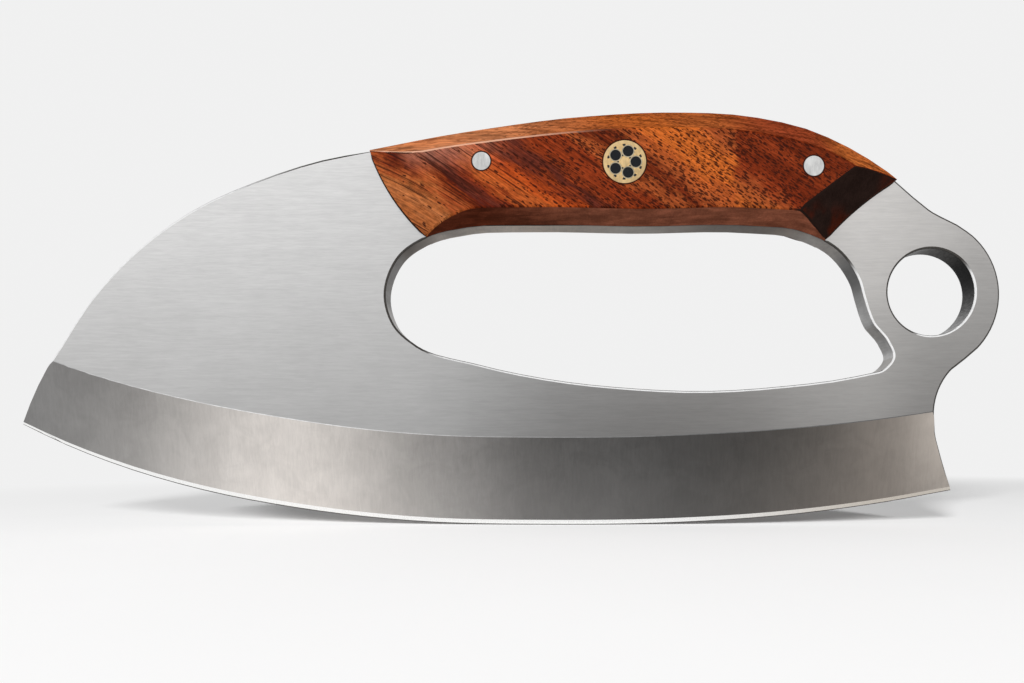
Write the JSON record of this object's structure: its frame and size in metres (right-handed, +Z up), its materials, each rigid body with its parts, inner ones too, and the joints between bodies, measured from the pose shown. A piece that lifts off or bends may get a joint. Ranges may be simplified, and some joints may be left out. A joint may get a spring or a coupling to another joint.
{
  "type": "ulu knife",
  "caption": "Curved full-tang kitchen knife with a wide bevelled belly, a hand opening, a finger ring and faceted wooden handle scales held by pins.",
  "frame": {"origin": "under the middle of the knife's length and thickness, level with the lowest point of the cutting edge", "axes": "+X from the tip to the finger ring, +Y through the plate away from the near side, +Z up from the cutting edge to the handle"},
  "size_m": [0.2582, 0.022, 0.1069],
  "materials": {
    "steel": "flats brushed along the knife, bevel brushed across it, outline edges bright",
    "wood": "oiled red-brown hardwood with dark open grain, satin",
    "epoxy": "dark cured glue line, satin",
    "pin_metal": "nickel silver, sanded flush, satin",
    "brass": "sanded flush, satin",
    "black_resin": "black, sanded flush",
    "filled_resin": "resin filled with brass dust, sanded flush"
  },
  "bodies": {
    "root": {"blade": "steel", "near_scale": "wood", "far_scale": "wood", "near_glue_film": "epoxy", "far_glue_film": "epoxy", "front_pin": "pin_metal", "rear_pin": "pin_metal", "mosaic_sleeve": "brass", "mosaic_resin": "filled_resin", "mosaic_centre_rod": "brass", "mosaic_outer_rod_1": "brass", "mosaic_outer_rod_2": "brass", "mosaic_outer_rod_3": "brass", "mosaic_outer_rod_4": "brass", "mosaic_outer_rod_5": "brass", "mosaic_steel_tube_1": "pin_metal", "mosaic_steel_tube_2": "pin_metal", "mosaic_steel_tube_3": "pin_metal", "mosaic_steel_tube_4": "pin_metal", "mosaic_steel_tube_5": "pin_metal", "mosaic_black_core_1": "black_resin", "mosaic_black_core_2": "black_resin", "mosaic_black_core_3": "black_resin", "mosaic_black_core_4": "black_resin", "mosaic_black_core_5": "black_resin"}
  },
  "joints": []
}
